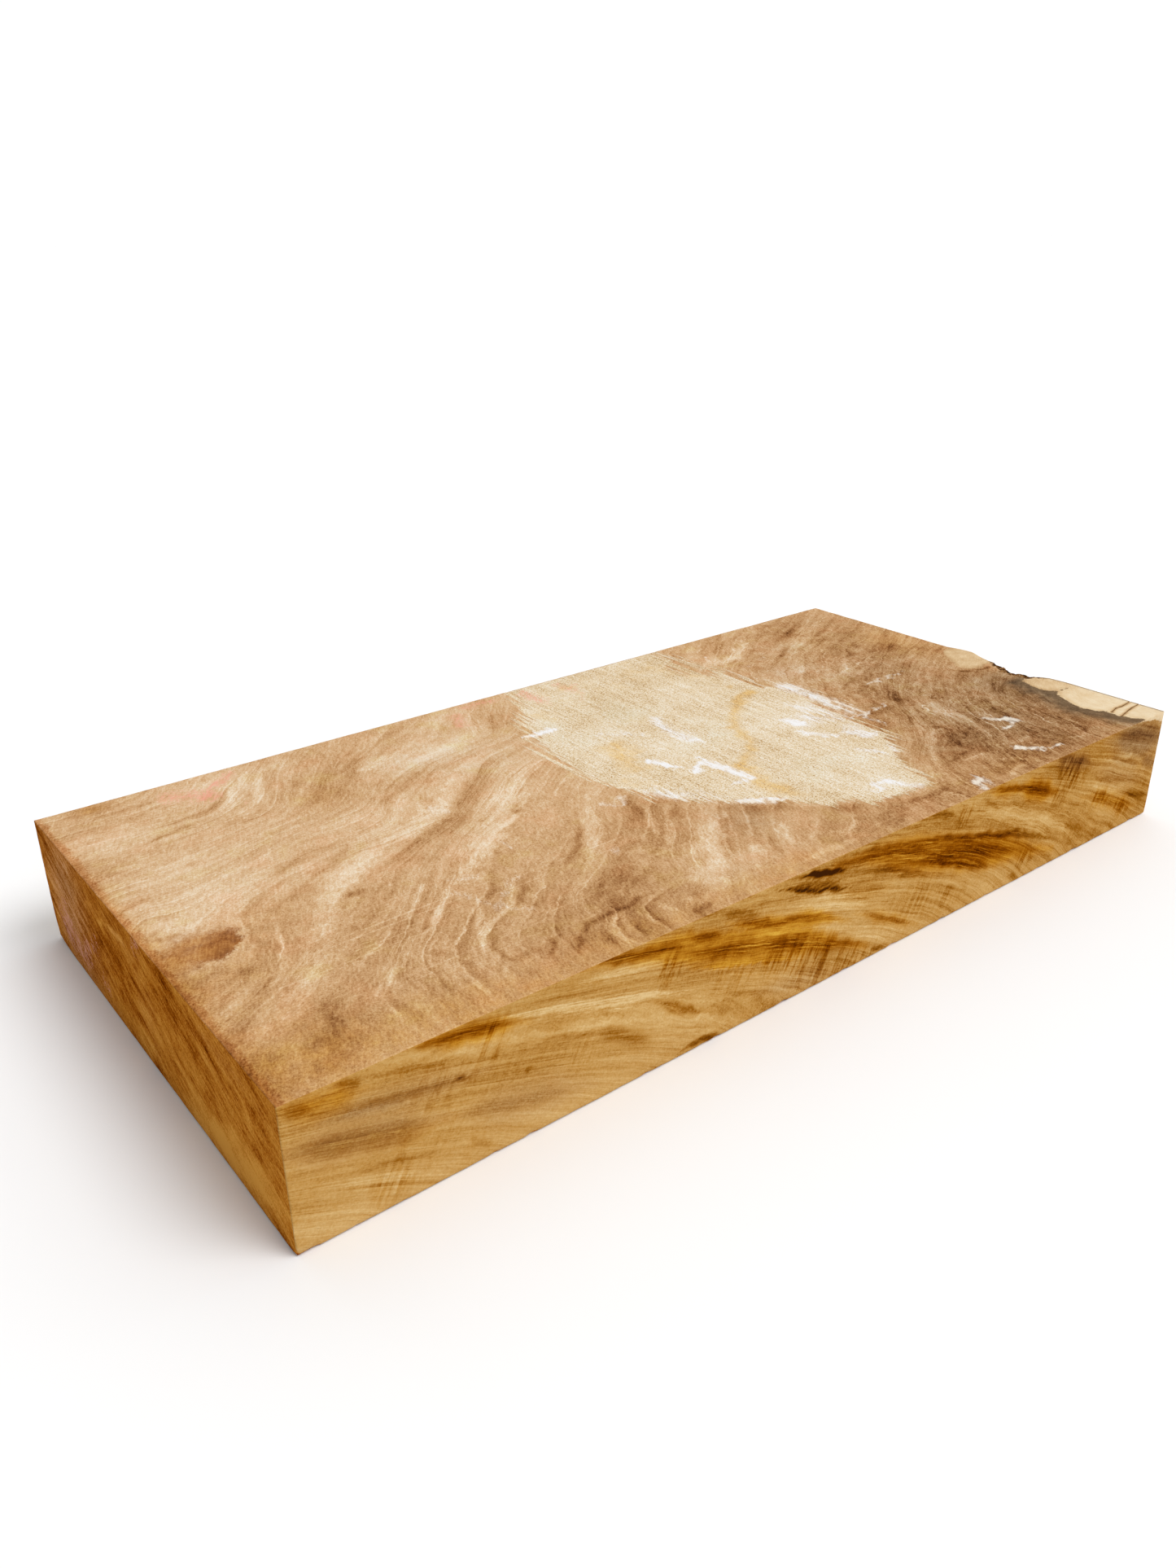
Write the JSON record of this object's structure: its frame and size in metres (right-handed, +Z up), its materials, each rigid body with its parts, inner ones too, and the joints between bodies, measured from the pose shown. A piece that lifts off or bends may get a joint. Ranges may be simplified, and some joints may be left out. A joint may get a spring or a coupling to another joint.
{
  "type": "garapa crotch lumber slab",
  "caption": "Short, thick rough-sawn slab of golden-brown garapa from a trunk fork, with swirling crotch grain and a bark pocket with sapwood at one end.",
  "frame": {"origin": "middle of the underside of the slab's outer box, on the surface it lies on", "axes": "+X along the length, from the clean saw cut to the end with the bark pocket; +Y across the width, from the near long side to the far one; +Z up, through the thickness"},
  "size_m": [0.644, 0.3112, 0.0756],
  "materials": {
    "garapa_wood": "rough-sawn bare wood, dry and matt, with fine sawn fuzz"
  },
  "bodies": {
    "root": {"lumber_slab": "garapa_wood"}
  },
  "joints": []
}
